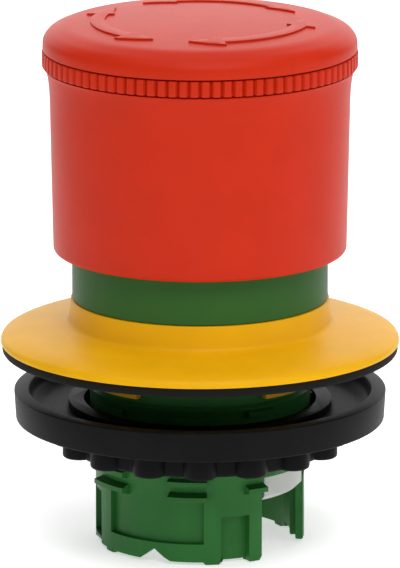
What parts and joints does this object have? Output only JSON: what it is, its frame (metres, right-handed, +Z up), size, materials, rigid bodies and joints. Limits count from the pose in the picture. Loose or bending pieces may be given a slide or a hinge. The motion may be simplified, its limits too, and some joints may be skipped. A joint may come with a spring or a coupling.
{
  "type": "emergency stop button",
  "caption": "Red mushroom push button with a turn-to-release latch, green collar, yellow flange and a lobed clamp ring, for a round panel hole.",
  "frame": {"origin": "centre of the gasket's underside, on the panel's front face", "axes": "+Z up the axis to the cap; the front of the button looks along -Y"},
  "size_m": [0.038, 0.038, 0.0509],
  "materials": {
    "cap_red": "satin moulded plastic, signal red",
    "collar_green": "satin moulded plastic, dark green",
    "housing_green": "moulded plastic, green, slightly glossy",
    "bezel_yellow": "satin moulded plastic, signal yellow",
    "gasket_rubber": "moulded flat gasket",
    "seal_rubber": "moulded seal",
    "ring_black": "glass-filled moulded plastic, fine texture",
    "plunger_white": "moulded plastic, white",
    "inner_plastic": "moulded plastic, natural",
    "turned_steel": "turned and zinc plated",
    "spring_wire": "drawn spring wire"
  },
  "bodies": {
    "housing": {"base_housing": "housing_green", "indicator_sleeve": "collar_green", "front_bezel": "bezel_yellow", "panel_gasket": "gasket_rubber", "bezel_oring": "seal_rubber", "latch_ring": "turned_steel", "latch_bush": "inner_plastic", "stem_seal": "seal_rubber", "seal_retainer": "inner_plastic", "return_spring": "spring_wire"},
    "plunger": {"plunger": "plunger_white", "latch_carrier": "inner_plastic", "spindle": "turned_steel", "spindle_washer": "turned_steel", "spindle_circlip": "spring_wire", "latch_springs": "spring_wire"},
    "latch_pin_left": {"latch_pin_left": "turned_steel"},
    "latch_pin_right": {"latch_pin_right": "turned_steel"},
    "cap": {"turn_hub": "inner_plastic", "cap_shell": "cap_red", "cap_lid": "cap_red", "spring_washer": "turned_steel", "twist_spring": "spring_wire"},
    "clamp_dish": {"clamp_dish": "ring_black"},
    "ring_nut": {"ring_nut": "ring_black"}
  },
  "joints": [
    {"name": "press", "type": "slide", "parent": "housing", "child": "plunger", "axis": [0, 0, 1], "range_m": [-0.004, 0], "stiffness_N_per_m": 1500, "springref_m": 0.005, "deforming": ["return_spring"]},
    {"name": "twist", "type": "hinge", "parent": "plunger", "child": "cap", "pos_m": [0, 0, 0], "axis": [0, 0, 1], "range_deg": [-40, 40], "stiffness_Nm_per_rad": 0.01},
    {"name": "latch_left", "type": "slide", "parent": "plunger", "child": "latch_pin_left", "axis": [-1, 0, 0], "range_m": [0, 0.0007]},
    {"name": "latch_right", "type": "slide", "parent": "plunger", "child": "latch_pin_right", "axis": [1, 0, 0], "range_m": [0, 0.0007]},
    {"name": "dish_slide", "type": "slide", "parent": "housing", "child": "clamp_dish", "axis": [0, 0, 1], "range_m": [-0.008, 0.0025]},
    {"name": "nut_turn", "type": "hinge", "parent": "clamp_dish", "child": "ring_nut", "pos_m": [0, 0, 0], "axis": [0, 0, 1], "range_deg": [-1925, 605]}
  ],
  "couplings": [
    {"joint": "latch_left", "follows": "press", "ratio": -0.15},
    {"joint": "latch_right", "follows": "press", "ratio": -0.15},
    {"joint": "nut_turn", "follows": "dish_slide", "rad_per_m": 4188.8}
  ]
}
